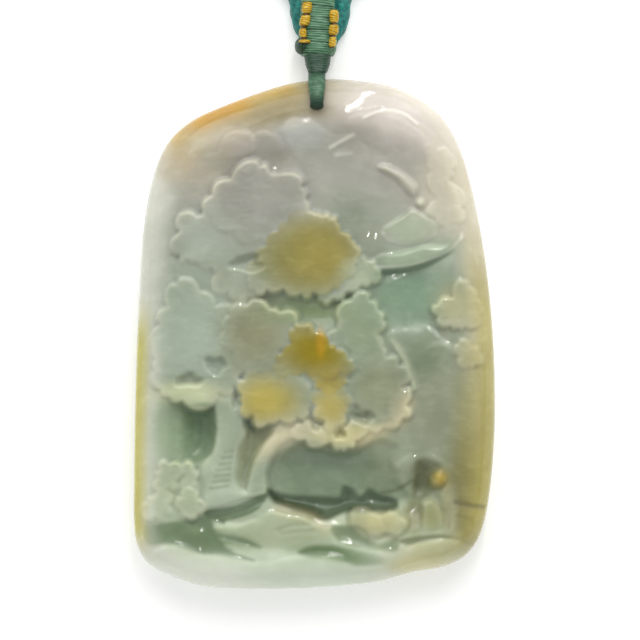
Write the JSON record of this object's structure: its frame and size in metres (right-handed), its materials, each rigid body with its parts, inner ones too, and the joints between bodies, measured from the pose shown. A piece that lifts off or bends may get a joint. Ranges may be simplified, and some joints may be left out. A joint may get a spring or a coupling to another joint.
{
  "type": "carved jade plaque pendant",
  "caption": "Carved jade plaque with a tree and pavilion landscape in relief, lying on its back, hung by a thread-bound loop and knot from a braided necklace cord.",
  "frame": {"origin": "middle of the plaque's flat back, on the surface that it lies on", "axes": "+Z out of the carved face, +Y along the plaque's height towards its hole and cord, +X to the right of the carving"},
  "size_m": [0.046, 0.1143, 0.0089],
  "materials": {
    "jade": "polished translucent stone, pale lavender and green with yellow patches",
    "green_thread": "silky wound thread",
    "gold_thread": "glossy wound thread",
    "braided_cord": "soft braid"
  },
  "bodies": {
    "root": {"jade_plaque": "jade", "hanging_loop": "green_thread", "bound_knot": "green_thread", "gold_thread_left": "gold_thread", "gold_thread_right": "gold_thread", "necklace_cord_left": "braided_cord", "necklace_cord_right": "braided_cord", "necklace_coil": "braided_cord"}
  },
  "joints": []
}
